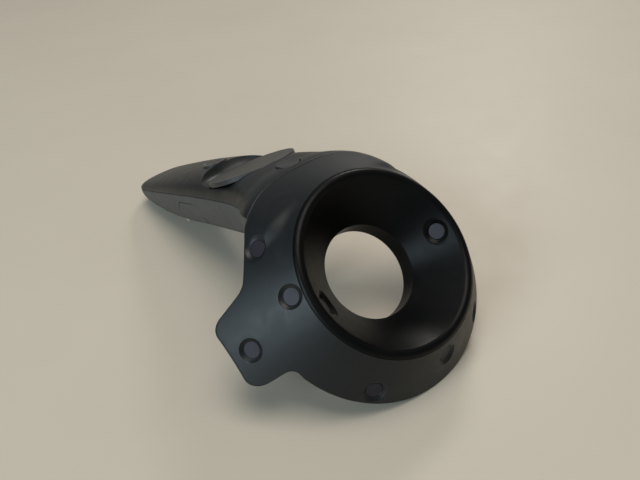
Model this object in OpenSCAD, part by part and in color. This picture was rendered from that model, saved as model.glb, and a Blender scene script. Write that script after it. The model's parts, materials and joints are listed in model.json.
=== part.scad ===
// One-handed motion controller: a tilted tracking ring with a funnel-shaped hole and two swept
// wings, on a tapering handle with a trackpad, four push buttons and a pull trigger.
// Stations run along the handle from the rim circle's centre (0) to the tail.

/* [Ring] */
// Outer radius of the ring's lip
lip_r = 36.8; // [36:0.1:37.5]
// Section radius of the rounded lip
lip_round = 2.35; // [2:0.05:2.5]
// Depth at which the front cone leaves the lip
lip_depth = 0.8; // [0.5:0.1:1.5]
// Fall of the front cone for each millimetre of radius
cone_fall = 1.215; // [1.15:0.005:1.25]
// Radius of the front cover's lower edge
skirt_r = 49.8; // [49:0.1:50]
// Radius of the straight throat
throat_r = 18.9; // [18:0.1:19.5]
// Depth where the funnel ends and the throat begins
throat_depth = 15.1; // [15:0.1:16]
// Depth of the ring's rear face
ring_depth = 24.2; // [24:0.1:25]
// Tilt of the ring's plane up from horizontal
ring_tilt = 42.5; // [42:0.5:43]
// Height of the rim circle's centre above the table
rim_z = 45.9; // [45.8:0.1:46.5]
// Distance of the wing tips from the middle plane
wing_x = 60.2; // [58:0.1:61]

/* [Handle] */
// Station of the handle's tail
tail = 193.8; // [190:0.1:196]
// Length of the rounded tail end
tail_round = 15; // [13:0.5:17]
// Wall thickness of the handle shells
wall = 2.2; // [1.8:0.1:2.4]
// Slope of the parts packed inside the handle
handle_slope = 18.3; // [17.5:0.1:19]

/* [Controls] */
// Radius of the trackpad disc
pad_r = 20.3; // [19:0.1:20.5]
// Station and height of the trackpad's centre
pad_at = [83.1, 55.4];
// Slope of the trackpad
pad_slope = 24.1; // [23:0.1:25]
// Radius of the menu button
menu_r = 5; // [4:0.1:5.5]
// Radius of the system button
system_r = 5.8; // [5:0.1:6.2]
// Gap around each push button
button_gap = 0.3; // [0.2:0.05:0.4]
// Station and height of the trigger's hinge
pivot = [60, 36.5];
// Radius of the trigger's hinge pin
pin_r = 1.5; // [1.2:0.1:1.6]
// Running clearance around the hinge pin
pin_clear = 0.06; // [0.03:0.01:0.09]
// Width of the trigger
trigger_w = 15; // [14:0.5:15]

/* [Sensors] */
// Radius of a sensor window
window_r = 3.2; // [2.8:0.1:3.3]
// Outer radius of the dimple around a window
dimple_r = 4.5; // [4.2:0.1:4.6]
// Depth of the dimple
dimple_depth = 1; // [0.8:0.1:1.1]

/* [Hidden] */
$fn = 64;

// The origin is the middle of the object's footprint; rim_y is the rim centre's place in it.
rim_y = -83.5;
skin = 2.6;
cone_angle = atan(cone_fall);
black = [0.09, 0.09, 0.1];
board_green = [0.08, 0.3, 0.16];
steel = [0.7, 0.7, 0.72];

// Side profiles along the handle: [station, value].
top_line = [[15, 60], [28, 64.5], [39, 66], [50, 65.9], [57, 65], [64, 63.5], [72, 61], [83, 57.4],
    [98, 52], [120, 43.5], [143, 34.1], [180, 17.7], [194, 11]];
widest_line = [[15, 58], [46, 54], [64, 51.6], [79, 47.3], [101, 40.6], [131, 30.7], [149, 24.1],
    [194, 8]];
bottom_line = [[15, 46], [33, 41], [46, 36], [60, 30.5], [77, 25], [109, 15.3], [133, 7.5],
    [150, 3.2], [165, 0.9], [178, 0.2], [194, 0.5]];
half_width = [[15, 24], [27, 28.5], [36, 30.5], [44, 29.5], [50, 27], [56, 24.6], [62, 22.6],
    [70, 21.2], [80, 20.5], [118, 19.9], [140, 19], [155, 18.2], [170, 17.2], [182, 15.8],
    [194, 14.5]];
parting_line = [[30, 62.5], [44, 60.6], [52, 57.2], [59, 54], [67, 51.4], [88, 45], [115, 36.3],
    [149, 24.2], [194, 7.8]];
// The front cover's edge across the neck, in ring coordinates: [side, along].
neck_edge = [[0, 49.2], [12, 48.9], [22, 46.4], [30, 41.8], [34, 38.3]];
// Sensor windows in ring coordinates.
front_sensors = [[-36.4, 29], [36.4, 29], [-39.5, 7.7], [39.5, 7.7], [-54.6, -0.3],
    [54.6, -0.3], [-27.5, -36], [27.5, -36], [3.1, -41.2]];
funnel_sensors = [[-27.5, -2], [27.5, -2]];
back_sensors = [[-49, 3], [49, 3], [-12, -34], [12, -34]];
grip_outline = [[125.5, 28.2], [110.5, 33.4], [99.6, 25], [128.8, 13.6], [128.8, 22.6]];
trigger_outline = [[60, 41.5], [54.5, 39.5], [50.8, 34], [51, 24], [48.4, 13.6], [54, 10.6],
    [59, 18], [66.5, 30.5], [65, 39.5]];

// ---- Curves and the body's surface -------------------------------------------------------

function slope_at(p, i) = let(a = max(0, i - 1), b = min(len(p) - 1, i + 1))
    (p[b][1] - p[a][1]) / (p[b][0] - p[a][0]);
function span_of(p, s, i = 0) = i >= len(p) - 2 || s <= p[i + 1][0] ? i : span_of(p, s, i + 1);
// A smooth curve through the points of a profile.
function curve(p, s) = let(
    i = span_of(p, s),
    d = p[i + 1][0] - p[i][0],
    t = max(0, min(1, (s - p[i][0]) / d)),
    rise = 3 * t * t - 2 * t * t * t)
    p[i][1] * (1 - rise) + p[i + 1][1] * rise
    + slope_at(p, i) * d * t * (1 - t) * (1 - t) - slope_at(p, i + 1) * d * t * t * (1 - t);

function smooth_min(a, b, k) = let(h = max(k - abs(a - b), 0) / k) min(a, b) - h * h * k / 4;
function smooth_max(a, b, k) = -smooth_min(-a, -b, k);

// Ring coordinates of a point at station y and height z: [along, height over the rim plane].
function ring_v(y, z) = y * cos(ring_tilt) + (z - rim_z) * sin(ring_tilt);
function ring_h(y, z) = -y * sin(ring_tilt) + (z - rim_z) * cos(ring_tilt);
function cone_h(r) = -(lip_depth + (r - lip_r) * cone_fall);

// Signed distance, roughly, to the head's cone; it fades out beside and behind the neck.
neck_reach = 52;
neck_open = 40;
neck_widening = 0.12;
function head_f(x, v, h) = let(
    r = norm([x, v]),
    front = (h - cone_h(r)) * cos(cone_angle),
    side = r - neck_reach - neck_widening * pow(max(0, neck_open - v), 2),
    rear = -30 - h - 3 * max(0, 30 - v))
    smooth_max(smooth_max(front, side, 3), rear, 4);

// Handle section at a station: [half width, widest height, rise, drop, top squareness].
function section(y) = let(
    t = max(0, min(1, (y - tail + tail_round) / tail_round)),
    e = pow(max(0.0003, 1 - pow(t, 2.5)), 0.4),
    mid = curve(widest_line, y))
    [curve(half_width, y) * e, mid, (curve(top_line, y) - mid) * e,
     (mid - curve(bottom_line, y)) * e, 2.4 + max(0, min(1, (80 - y) / 30))];
function tube_f(x, z, s) = let(
    up = z > s[1],
    reach = up ? s[2] : s[3],
    p = up ? s[4] : 2.5,
    q = pow(pow(abs(x) / s[0], p) + pow(abs(z - s[1]) / reach, p), 1 / p),
    t = max(0, min(1, (s[1] - z) / 12 + 0.5)),
    low = t * t * (3 - 2 * t))
    (q - 1) * min(s[0], s[2] * (1 - low) + s[3] * low);
function thinner(s, by) = [s[0] - by, s[1], max(0.3, s[2] - by), max(0.3, s[3] - by), s[4]];
neck_start = 30;
neck_fade = 0.1;
// The whole body: cone and handle blended. neck is false for the handle alone, and by is how far
// the surface is moved inwards.
function body_f(x, y, z, s, neck, by) = neck
    ? smooth_min(head_f(x, ring_v(y, z), ring_h(y, z)) + by,
        tube_f(x, z, s) + neck_fade * pow(max(0, neck_start - y), 2), 5)
    : tube_f(x, z, s);

// Distance from [0, y, z] along angle a, in the section plane, to the body's surface.
function reach_at(y, z, a, s, neck, by, lo = 0, hi = 48, n = 14) = n == 0 ? (lo + hi) / 2 : let(
    m = (lo + hi) / 2)
    body_f(m * cos(a), y, z + m * sin(a), s, neck, by) > 0
    ? reach_at(y, z, a, s, neck, by, lo, m, n - 1)
    : reach_at(y, z, a, s, neck, by, m, hi, n - 1);
function skin_point(y, a, by, neck) = let(
    z = curve(parting_line, y),
    d = reach_at(y, z, a, thinner(section(y), by), neck, by))
    [d * cos(a), y, z + d * sin(a)];

// Height of the front cover over the rim plane at ring coordinates [x, v].
function cover_h(x, v) = v < 10 ? cone_h(norm([x, v])) : drop_h(x, v, -33, 14, 15);
function drop_h(x, v, lo, hi, n) = n == 0 ? (lo + hi) / 2 : let(
    m = (lo + hi) / 2,
    y = v * cos(ring_tilt) - m * sin(ring_tilt),
    z = rim_z + v * sin(ring_tilt) + m * cos(ring_tilt))
    body_f(x, y, z, section(y), true, 0) > 0
    ? drop_h(x, v, lo, m, n - 1)
    : drop_h(x, v, m, hi, n - 1);

// ---- Outlines ----------------------------------------------------------------------------

function unit(v) = v / norm(v);
// Points of a rounded corner p1 between p0 and p2, with n + 1 points on the arc.
function corner(p0, p1, p2, r, n) = let(
    a = unit(p0 - p1),
    b = unit(p2 - p1),
    half = acos(a * b) / 2,
    c = p1 + unit(a + b) * r / sin(half),
    s = p1 + a * r / tan(half) - c,
    e = p1 + b * r / tan(half) - c,
    turn = atan2(s[0] * e[1] - s[1] * e[0], s * e))
    [for (i = [0:n]) let(t = turn * i / n)
        c + [s[0] * cos(t) - s[1] * sin(t), s[0] * sin(t) + s[1] * cos(t)]];
function rounded(p, r, n) = [for (i = [0:len(p) - 1])
    each corner(p[(i + len(p) - 1) % len(p)], p[i], p[(i + 1) % len(p)], r, n)];
// Splits the steps of a path that are longer than reach.
function split_steps(p, reach) = [for (i = [0:len(p) - 2]) let(
    k = ceil(norm(p[i + 1] - p[i]) / reach))
    each [for (j = [0:k - 1]) p[i] + (p[i + 1] - p[i]) * j / k]];

skirt_end = -158;
wing_front = -13.6;
left_edge = let(
    notch = [-47.6, wing_front],
    tip_low = [-wing_x, wing_front],
    tip_high = [-wing_x, 14],
    root = [-47, 19.4],
    foot = [-34, 38.3],
    arc_end = skirt_r * [cos(skirt_end), sin(skirt_end)])
    split_steps(concat(
        [for (i = [0:12]) let(a = -90 + (skirt_end + 90) * i / 12) skirt_r * [cos(a), sin(a)]],
        corner(arc_end, notch, tip_low, 3.5, 3),
        corner(notch, tip_low, tip_high, 6, 4),
        corner(tip_low, tip_high, root, 6, 4),
        corner(tip_high, root, foot, 9, 3),
        [for (x = [-34, -31, -27, -22, -16, -9, 0]) [x, curve(neck_edge, -x)]]), 7);
right_edge = [for (i = [len(left_edge) - 1:-1:1]) [-left_edge[i][0], left_edge[i][1]]];
edge = concat(left_edge, [[0, neck_edge[0][1]]], right_edge);
cols = len(edge);
// The outline moved inwards by d.
function inset(j, d) = let(
    a = edge[(j + cols - 1) % cols],
    b = edge[(j + 1) % cols],
    t = unit(b - a))
    edge[j] + [t[1], -t[0]] * d;
// The point on a circle of radius r that faces outline point j.
function facing(j, r) = r * unit(edge[j]);

// ---- Solids from grids -------------------------------------------------------------------

function quad(a, b, c, d, flip) = flip ? [[a, c, b], [a, d, c]] : [[a, b, c], [a, c, d]];
function flat(grid) = [for (row = grid) each row];
// A closed solid whose grid wraps round in both directions.
module ring_solid(grid) {
    n = len(grid);
    m = len(grid[0]);
    polyhedron(flat(grid), [for (i = [0:n - 1], j = [0:m - 1]) let(
        k = (i + 1) % n,
        l = (j + 1) % m)
        each quad(i * m + j, k * m + j, k * m + l, i * m + l, false)], convexity = 8);
}
// A closed solid between an outer and an inner open grid with the same rows and columns.
module plate_solid(outer, inner, flip = false) {
    n = len(outer);
    m = len(outer[0]);
    q = n * m;
    polyhedron(concat(flat(outer), flat(inner)), concat(
        [for (i = [0:n - 2], j = [0:m - 2]) let(a = i * m + j)
            each quad(a, a + 1, a + m + 1, a + m, flip)],
        [for (i = [0:n - 2], j = [0:m - 2]) let(a = q + i * m + j)
            each quad(a, a + m, a + m + 1, a + 1, flip)],
        [for (i = [0:n - 2]) let(a = i * m)
            each quad(a, a + m, q + a + m, q + a, flip)],
        [for (i = [0:n - 2]) let(a = i * m + m - 1)
            each quad(a, q + a, q + a + m, a + m, flip)],
        [for (j = [0:m - 2]) each quad(j, q + j, q + j + 1, j + 1, flip)],
        [for (j = [0:m - 2]) let(a = (n - 1) * m + j)
            each quad(a, a + 1, q + a + 1, q + a, flip)]), convexity = 8);
}

module in_frame() translate([0, rim_y, 0]) children();
module ring_frame() in_frame() translate([0, 0, rim_z]) rotate([ring_tilt, 0, 0]) children();
module pad_frame() in_frame() translate([0, pad_at[0], pad_at[1]]) rotate([-pad_slope, 0, 0])
    children();
// Frame of the parts packed in the handle: +Y runs down the handle's axis.
module pack_frame() in_frame() translate([0, 100, 34]) rotate([-handle_slope, 0, 0]) children();
// Extrudes a side outline, drawn as [station, height], across the width w.
module side_extrude(w) in_frame() translate([-w / 2, 0, 0]) rotate([90, 0, 90])
    linear_extrude(w) children();
module tube(outer, inner, h) difference() {
    cylinder(r = outer, h = h);
    translate([0, 0, -1]) cylinder(r = inner, h = h + 2);
}

// ---- Head --------------------------------------------------------------------------------

hole_edge_r = lip_r + 0.1;
function cover_row(t) = [for (j = [0:cols - 1]) let(
    p = facing(j, hole_edge_r) * (1 - t) + edge[j] * t)
    [p[0], p[1], cover_h(p[0], p[1])]];
function cover_under(t) = [for (j = [0:cols - 1]) let(
    p = facing(j, hole_edge_r) * (1 - t) + inset(j, 2.2) * t)
    [p[0], p[1], cover_h(p[0], p[1]) - skin]];
function lip_drop(d, down) = [for (j = [0:cols - 1]) let(p = inset(j, d))
    [p[0], p[1], cover_h(edge[j][0], edge[j][1]) - down]];

// Rear pan: its back runs from the throat out to a bevelled rim under the front cover.
sleeve_r = 20.7;
bevel = [4, 3.65];
function pan_back(t, up) = [for (j = [0:cols - 1]) let(
    a = facing(j, sleeve_r + 0.1),
    p = a * (1 - t) + inset(j, bevel[0] + 1.6 * min(1, up)) * t,
    rim_h = cover_h(edge[j][0], edge[j][1]) - bevel[1])
    [p[0], p[1], -ring_depth * (1 - t) + rim_h * t - 1.6 * sin(180 * t) + up]];
module pan_solid() ring_solid(concat(
    [for (t = [0, 0.25, 0.5, 0.75, 1]) pan_back(1 - t, 1.8)],
    [for (t = [0, 0.25, 0.5, 0.75, 1]) pan_back(t, 0)],
    [lip_drop(0.97, 0.87)],
    [[for (j = [0:cols - 1]) let(p = inset(j, 2.25))
        [p[0], p[1], cover_h(p[0], p[1]) - skin - 0.06]]]));
// Everything between the front cone and the rear pan, with the throat left open.
module head_envelope() ring_solid(concat(
    [[for (j = [0:cols - 1]) let(p = facing(j, sleeve_r)) [p[0], p[1], -5]]],
    [for (t = [0, 0.5, 1]) [for (j = [0:cols - 1]) let(
        p = facing(j, hole_edge_r) * (1 - t) + inset(j, -0.15) * t)
        [p[0], p[1], cover_h(p[0], p[1]) + 0.3]]],
    [for (t = [1, 0.75, 0.5, 0.25, 0]) pan_back(t, -0.1)]));

// Frame on the front cover's surface at ring coordinates p, with Z along its normal.
module at_cover(p) {
    fall = [cover_h(p[0] - 1, p[1]) - cover_h(p[0] + 1, p[1]),
        cover_h(p[0], p[1] - 1) - cover_h(p[0], p[1] + 1)] / 2;
    translate([p[0], p[1], cover_h(p[0], p[1])]) rotate([0, 0, atan2(fall[1], fall[0])])
        rotate([0, atan(norm(fall)), 0]) children();
}
funnel_fall = 47.1;
funnel_edge = [lip_r - lip_round + lip_round * cos(180 - 90 + funnel_fall),
    lip_round * sin(180 - 90 + funnel_fall) - 1.75];
function funnel_h(r) = funnel_edge[1] - (funnel_edge[0] - r) * tan(funnel_fall);
module at_funnel(p) translate([p[0], p[1], funnel_h(norm(p))]) rotate([0, 0, atan2(p[1], p[0])])
    rotate([0, -funnel_fall, 0]) children();
dimple_flare = 0.6;
dimple_floor_r = window_r + 0.3;
module dimple() rotate(20) {
    fall = (dimple_r - dimple_floor_r) / dimple_depth;
    translate([0, 0, -dimple_depth]) cylinder(r1 = dimple_floor_r,
        r2 = dimple_r + fall * dimple_flare, h = dimple_depth + dimple_flare);
    translate([0, 0, -6]) cylinder(r = window_r + 0.05, h = 5.5);
}

module head_front_cover() color(black) ring_frame() difference() {
    ring_solid(concat(
        [for (t = [0:0.125:1]) cover_row(t)],
        [lip_drop(0.9, 0.8)],
        [for (t = [1, 0.75, 0.5, 0.25, 0]) cover_under(t)]));
    for (p = front_sensors) at_cover(p) dimple();
}

module ring_funnel() color([0.05, 0.05, 0.055]) ring_frame() difference() {
    rotate_extrude() polygon(concat(
        [[lip_r - 2, -3.9]],
        [for (a = [-25:9:90 + funnel_fall])
            [lip_r - lip_round + lip_round * cos(a), lip_round * sin(a) - 1.75]],
        [funnel_edge, [throat_r, funnel_h(throat_r)], [throat_r + 2, funnel_h(throat_r)],
         [lip_r - 4, -4.9]]));
    for (p = funnel_sensors) at_funnel(p) dimple();
}

module throat_sleeve() color([0.05, 0.05, 0.055]) ring_frame() rotate_extrude() polygon([
    [throat_r, -throat_depth], [throat_r, -22.2], [20.2, -ring_depth], [sleeve_r, -ring_depth],
    [sleeve_r, -17.5], [23, -17.5], [23, -16.2], [sleeve_r, -16.2], [sleeve_r, -throat_depth]]);

// Screws through the rear pan: [side, along, height of the pan's back there].
head_screw_spots = [[-33, -1, -28.6], [33, -1, -28.6], [-18.9, -27, -23.9], [18.9, -27, -23.9]];
seat_depth = 0.8;
post_gap = 3;
module head_back_cover() color(black) ring_frame() difference() {
    pan_solid();
    for (p = back_sensors) translate([p[0], p[1], -40]) cylinder(r = window_r + 0.05, h = 40);
    for (p = head_screw_spots) translate([p[0], p[1], p[2]]) {
        cylinder(r = 1.5, h = post_gap);
        translate([0, 0, -4]) cylinder(r = 2.6, h = seat_depth + 4);
    }
    translate([-6, 36, -32]) cube([12, 6, 30]);
}

module front_sensor_windows() color([0.1, 0.08, 0.14]) ring_frame()
    for (p = front_sensors) at_cover(p) translate([0, 0, -2]) cylinder(r = window_r, h = 1);
module funnel_sensor_windows() color([0.1, 0.08, 0.14]) ring_frame()
    for (p = funnel_sensors) at_funnel(p) translate([0, 0, -2.3]) cylinder(r = window_r, h = 1.3);
// Height of a rear window's face: the pan falls away behind the wings.
function rear_window_h(p) = abs(p[0]) > 40 ? -31.6 : -23.1;
module back_sensor_windows() color([0.1, 0.08, 0.14]) ring_frame() for (p = back_sensors)
    translate([p[0], p[1], rear_window_h(p)]) cylinder(r = window_r, h = 1.4);

board_h = -13.6;
module sensor_ring_board() color(board_green) ring_frame() translate([0, 0, board_h])
    difference() {
        tube(40, 24.8, 1.6);
        for (a = [90, 210, 330]) rotate(a) translate([31, 0, -1]) cylinder(r = 1.2, h = 4);
    }
module optical_sensors() color([0.15, 0.15, 0.17]) ring_frame() {
    for (p = front_sensors) at_cover(p) translate([0, 0, -3.3]) cylinder(r = 1.8, h = 1.2);
    for (p = funnel_sensors) at_funnel(p) translate([0, 0, -3.6]) cylinder(r = 1.8, h = 1.2);
}
module head_frame() color([0.2, 0.2, 0.22]) ring_frame() difference() {
    union() {
        translate([0, 0, -15.4]) tube(40.5, 24.8, 1.7);
        for (p = head_screw_spots) translate([p[0], p[1], p[2] + post_gap])
            cylinder(r = 3, h = -14 - p[2] - post_gap);
    }
    for (p = head_screw_spots) translate([p[0], p[1], p[2] + post_gap - 1])
        cylinder(r = 1.3, h = 8);
    for (a = [90, 210, 330]) rotate(a) translate([31, 0, -17]) cylinder(r = 1.2, h = 4);
}
module screw(r, long, head) {
    cylinder(r = r, h = long);
    difference() {
        translate([0, 0, -head * 0.7]) cylinder(r = head, h = head * 0.7);
        translate([0, 0, -head]) cylinder(r = head * 0.55, h = head * 0.7, $fn = 6);
    }
}
module head_screws() color(steel) ring_frame()
    for (p = head_screw_spots) translate([p[0], p[1], p[2] + seat_depth - 0.03])
        screw(1.25, 7.5, 2.3);
module board_screws() color(steel) {
    ring_frame() for (a = [90, 210, 330]) rotate(a) translate([31, 0, board_h + 1.65])
        rotate([180, 0, 0]) screw(1.15, 4, 2);
    pack_frame() for (x = [-10, 10], y = [12, 52]) translate([x, y, 6.25])
        rotate([180, 0, 0]) screw(1, 3, 1.8);
}

// ---- Handle shells -----------------------------------------------------------------------

shell_rows = 15;
tail_rows = 6;
arc_cols = 18;
// Station of row i, for a shell that starts at station y0.
function row_station(i, y0) = i <= shell_rows
    ? y0 + (tail - tail_round - y0) * i / shell_rows
    : tail - tail_round + tail_round * 0.999 * sin(90 * (i - shell_rows) / tail_rows);
// The same row on the inner surface, which ends at station last.
function inner_station(i, y0, last) = y0 + (row_station(i, y0) - y0) * (last - y0)
    / (row_station(shell_rows + tail_rows, y0) - y0);

// Station where the top shell meets the front cover's edge, along angle a.
function seam_station(a, lo = 40, hi = 60, n = 10) = n == 0 ? (lo + hi) / 2 : let(
    m = (lo + hi) / 2,
    p = skin_point(m, a, 0, true))
    ring_v(p[1], p[2]) > curve(neck_edge, abs(p[0])) + 0.1
    ? seam_station(a, lo, m, n - 1)
    : seam_station(a, m, hi, n - 1);

// Extra thickness under the crescent behind the trackpad.
function bed_depth(y, a) = 5.4 * max(0, min(1, (y - 84) / 5)) * max(0, min(1, (109.4 - y) / 9))
    * max(0, min(1, 3 * sin(a) - 1));

module top_skin() {
    angles = [for (k = [0:arc_cols]) 180 * k / arc_cols];
    starts = [for (a = angles) seam_station(a)];
    outer = [for (i = [0:shell_rows + tail_rows]) [for (k = [0:arc_cols])
        skin_point(row_station(i, starts[k]), angles[k], 0, row_station(i, starts[k]) < 90)]];
    inner = [for (i = [0:shell_rows + tail_rows]) [for (k = [0:arc_cols]) let(
        y = inner_station(i, starts[k] + 0.3 + 2.6 * abs(cos(angles[k])), tail - 7))
        skin_point(y, angles[k], wall + bed_depth(y, angles[k]), y < 90)]];
    plate_solid(outer, inner);
}
shell_front = 31;
module bottom_skin() {
    angles = [for (k = [0:arc_cols]) 180 + 180 * k / arc_cols];
    gap = [0, 0, -0.08];
    outer = [for (i = [0:shell_rows + tail_rows]) [for (a = angles)
        skin_point(row_station(i, shell_front), a, 0, false) + gap]];
    inner = [for (i = [0:shell_rows + tail_rows]) [for (a = angles)
        skin_point(inner_station(i, shell_front, tail - 3.5), a, wall, false) + gap]];
    plate_solid(outer, inner);
}

menu_at = [54.8, 66];
menu_slope = 11.5;
system_at = [116.5, 44.95];
system_slope = 21;
light_at = [127.5, 40.5];
module at_top(p, slope) in_frame() translate([0, p[0], p[1]]) rotate([-slope, 0, 0]) children();

usb_slope = 16;
module usb_frame() in_frame() translate([0, 189, 7]) rotate([-usb_slope, 0, 0]) children();

pad_floor = 2.9;
carrier_r = 16.7;
// The crescent recess is a shallow cone whose axis lies behind the trackpad's.
crescent_shift = 3.8;
crescent_r = 23.1;
module handle_top_shell() color(black) difference() {
    in_frame() top_skin();
    pad_frame() {
        translate([0, 0, -pad_floor]) cylinder(r = pad_r + 0.5, h = pad_floor + 8, $fn = 96);
        translate([0, 0, -9]) cylinder(r = carrier_r + 0.3, h = 9, $fn = 96);
        translate([0, crescent_shift, -1.2])
            cylinder(r1 = crescent_r - 2.2, r2 = crescent_r, h = 1.6, $fn = 96);
        translate([0, crescent_shift, 0.4])
            cylinder(r1 = crescent_r, r2 = crescent_r + 2, h = 7.6, $fn = 96);
    }
    at_top(menu_at, menu_slope) translate([0, 0, -8]) cylinder(r = menu_r + button_gap, h = 16);
    at_top(system_at, system_slope) translate([0, 0, -8])
        cylinder(r = system_r + button_gap, h = 16);
    at_top(light_at, system_slope) translate([0, 0, -5]) cylinder(r = 1.1, h = 10);
    usb_frame() translate([-4.4, -2, -2]) cube([8.8, 12, 4]);
}

screw_spots = [[-11, 137], [11, 137], [-9.5, 165], [9.5, 165]];
function under_z(p) = let(s = section(p[1]))
    s[1] - s[3] * pow(1 - pow(abs(p[0]) / s[0], 2.5), 0.4);
module grip_hole(side, grow) in_frame() translate([side * 8, 0, 0]) mirror([side < 0 ? 1 : 0, 0, 0])
    rotate([90, 0, 90]) linear_extrude(20) polygon(grip_edge(grow));
module handle_bottom_shell() color([0.11, 0.11, 0.115]) difference() {
    in_frame() bottom_skin();
    ring_frame() head_envelope();
    ring_frame() translate([0, 0, -60]) cylinder(r = sleeve_r + 0.1, h = 80);
    in_frame() translate([-trigger_w / 2 - 0.6, 46, 5]) cube([trigger_w + 1.2, 23.8, 31]);
    for (side = [-1, 1]) grip_hole(side, button_gap);
    for (p = screw_spots) in_frame() translate([p[0], p[1], under_z(p) - 3]) {
        cylinder(r = 1.4, h = 9);
        cylinder(r = 2.5, h = 4.9);
    }
    in_frame() translate([-4.5, 174, -3]) cube([9, 8, 6.5]);
    usb_frame() translate([-4.4, -2, -2]) cube([8.8, 12, 4]);
}

// ---- Controls ----------------------------------------------------------------------------

pad_t = 2;
module trackpad_disc() color([0.3, 0.3, 0.31]) pad_frame() difference() {
    translate([0, 0, -pad_t]) cylinder(r = pad_r, h = pad_t, $fn = 96);
    translate([0, 0, 118.8]) sphere(r = 119, $fn = 200);
}
module trackpad_sensor_board() color(board_green) pad_frame() translate([0, 0, -2.85])
    cylinder(r = 14.2, h = 0.8);
module trackpad_carrier() color([0.2, 0.2, 0.22]) pad_frame() difference() {
    translate([0, 0, -5.4]) cylinder(r = carrier_r, h = 1.4, $fn = 96);
    for (x = [-1, 1]) translate([x * 20 - 5, -25, -6]) cube([10, 50, 3]);
}
module trackpad_switch() color(steel) pad_frame() translate([0, 0, -3.98]) cylinder(r = 3, h = 0.55);

module push_button(r, stem) {
    difference() {
        translate([0, 0, -3.4]) cylinder(r = r, h = 3.7);
        translate([0, 0, 40.12]) sphere(r = 40, $fn = 120);
    }
    translate([0, 0, -4.2]) cylinder(r = r + 0.9, h = 0.85);
    translate([0, 0, -stem]) cylinder(r = 1.6, h = stem - 4);
}
module menu_button() color(black) at_top(menu_at, menu_slope) push_button(menu_r, 5);
module menu_switch() color(steel) at_top(menu_at, menu_slope) translate([0, 0, -7.6]) {
    cylinder(r = 1.2, h = 2);
    translate([-3, -3, -1.6]) cube([6, 6, 2]);
}
module system_button() color(black) at_top(system_at, system_slope) push_button(system_r, 5);
module system_switch() color(steel) at_top(system_at, system_slope) translate([0, 0, -7.6]) {
    cylinder(r = 1.2, h = 2);
    translate([-3, -3, -1.5]) cube([6, 6, 1.9]);
}
module status_light_pipe() color([0.8, 0.85, 0.9]) at_top(light_at, system_slope)
    translate([0, 0, -4.6]) {
        cylinder(r = 1, h = 4.5);
        cylinder(r = 1.8, h = 1.2);
    }

function grip_edge(grow) = let(c = [114.5, 22.6], p = rounded(grip_outline, 3.2, 4))
    [for (q = p) q + unit(q - c) * grow];
// Half width of the handle at station y and height z, at a level off the surface.
function flank_x(y, z, level) = let(s = section(y), q = 1 + level / min(s[0], s[3]))
    s[0] * q * pow(max(0.001, 1 - pow(abs(z - s[1]) / (s[3] * q), 2.5)), 0.4);
module grip_button(side) color([0.13, 0.13, 0.135]) in_frame() {
    c = [114.5, 22.6];
    rim = grip_edge(0);
    m = len(rim);
    rows = [0.999, 0.8, 0.5, 0.1];
    pts = [for (level = [0.25, -1.8]) [for (t = rows) [for (p = rim) let(q = c + (p - c) * t)
        [side * (flank_x(q[0], q[1], level - (t > 0.9 && level > 0 ? 0.25 : 0))), q[0], q[1]]]]];
    grid = concat([for (i = [3:-1:0]) pts[0][i]], pts[1]);
    points = flat(grid);
    n = len(grid);
    polyhedron(points, concat(
        [for (i = [0:n - 2], j = [0:m - 1]) let(l = (j + 1) % m)
            each quad(i * m + j, i * m + l, (i + 1) * m + l, (i + 1) * m + j, side > 0)],
        [[for (j = [0:m - 1]) side > 0 ? j : m - 1 - j]],
        [[for (j = [0:m - 1]) (n - 1) * m + (side > 0 ? m - 1 - j : j)]]), convexity = 6);
}
module left_grip_button() grip_button(-1);
module right_grip_button() grip_button(1);
module grip_switches() color(steel) for (side = [-1, 1]) in_frame()
    translate([side * 11.4, 114.5, 24.5]) rotate([0, side * 90, 0]) {
        translate([-3, -3, -1.6]) cube([6, 6, 2]);
        cylinder(r = 1.2, h = 1.2);
    }

module trigger() color(black) difference() {
    side_extrude(trigger_w) polygon(rounded(trigger_outline, 1.8, 4));
    side_extrude(trigger_w + 2) translate([38.4, 22.5]) circle(r = 13.6, $fn = 96);
    side_extrude(trigger_w + 2) translate(pivot) circle(r = pin_r + pin_clear);
    side_extrude(6.6) translate(pivot) circle(r = 7);
    in_frame() translate([-trigger_w / 2 - 0.01, 62.8, 33.2]) rotate([0, 90, 0])
        cylinder(r = 2.03, h = 2.1);
}
module trigger_pin() color(steel) side_extrude(21) translate(pivot) circle(r = pin_r);
module trigger_spring() color(steel) in_frame() translate([0, pivot[0], pivot[1]])
    rotate([0, 90, 0]) {
        for (x = [-2.4:0.95:2.4]) translate([0, 0, x])
            rotate_extrude() translate([2.5, 0]) circle(r = 0.45, $fn = 24);
        translate([-2.5, 0, -2.4]) rotate([-90, 0, 0]) cylinder(r = 0.4, h = 7.5);
    }
module trigger_switch() color(steel) in_frame() translate([-3, 68.6, 33]) cube([6, 3, 4]);
module trigger_magnet() color([0.75, 0.75, 0.78]) in_frame()
    translate([-trigger_w / 2, 62.8, 33.2]) rotate([0, 90, 0]) cylinder(r = 2, h = 2);
module trigger_hall_sensor() color([0.1, 0.1, 0.1]) in_frame()
    translate([-11.7, 61, 35]) cube([1.1, 4, 3]);

// ---- Inside the handle -------------------------------------------------------------------

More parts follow.
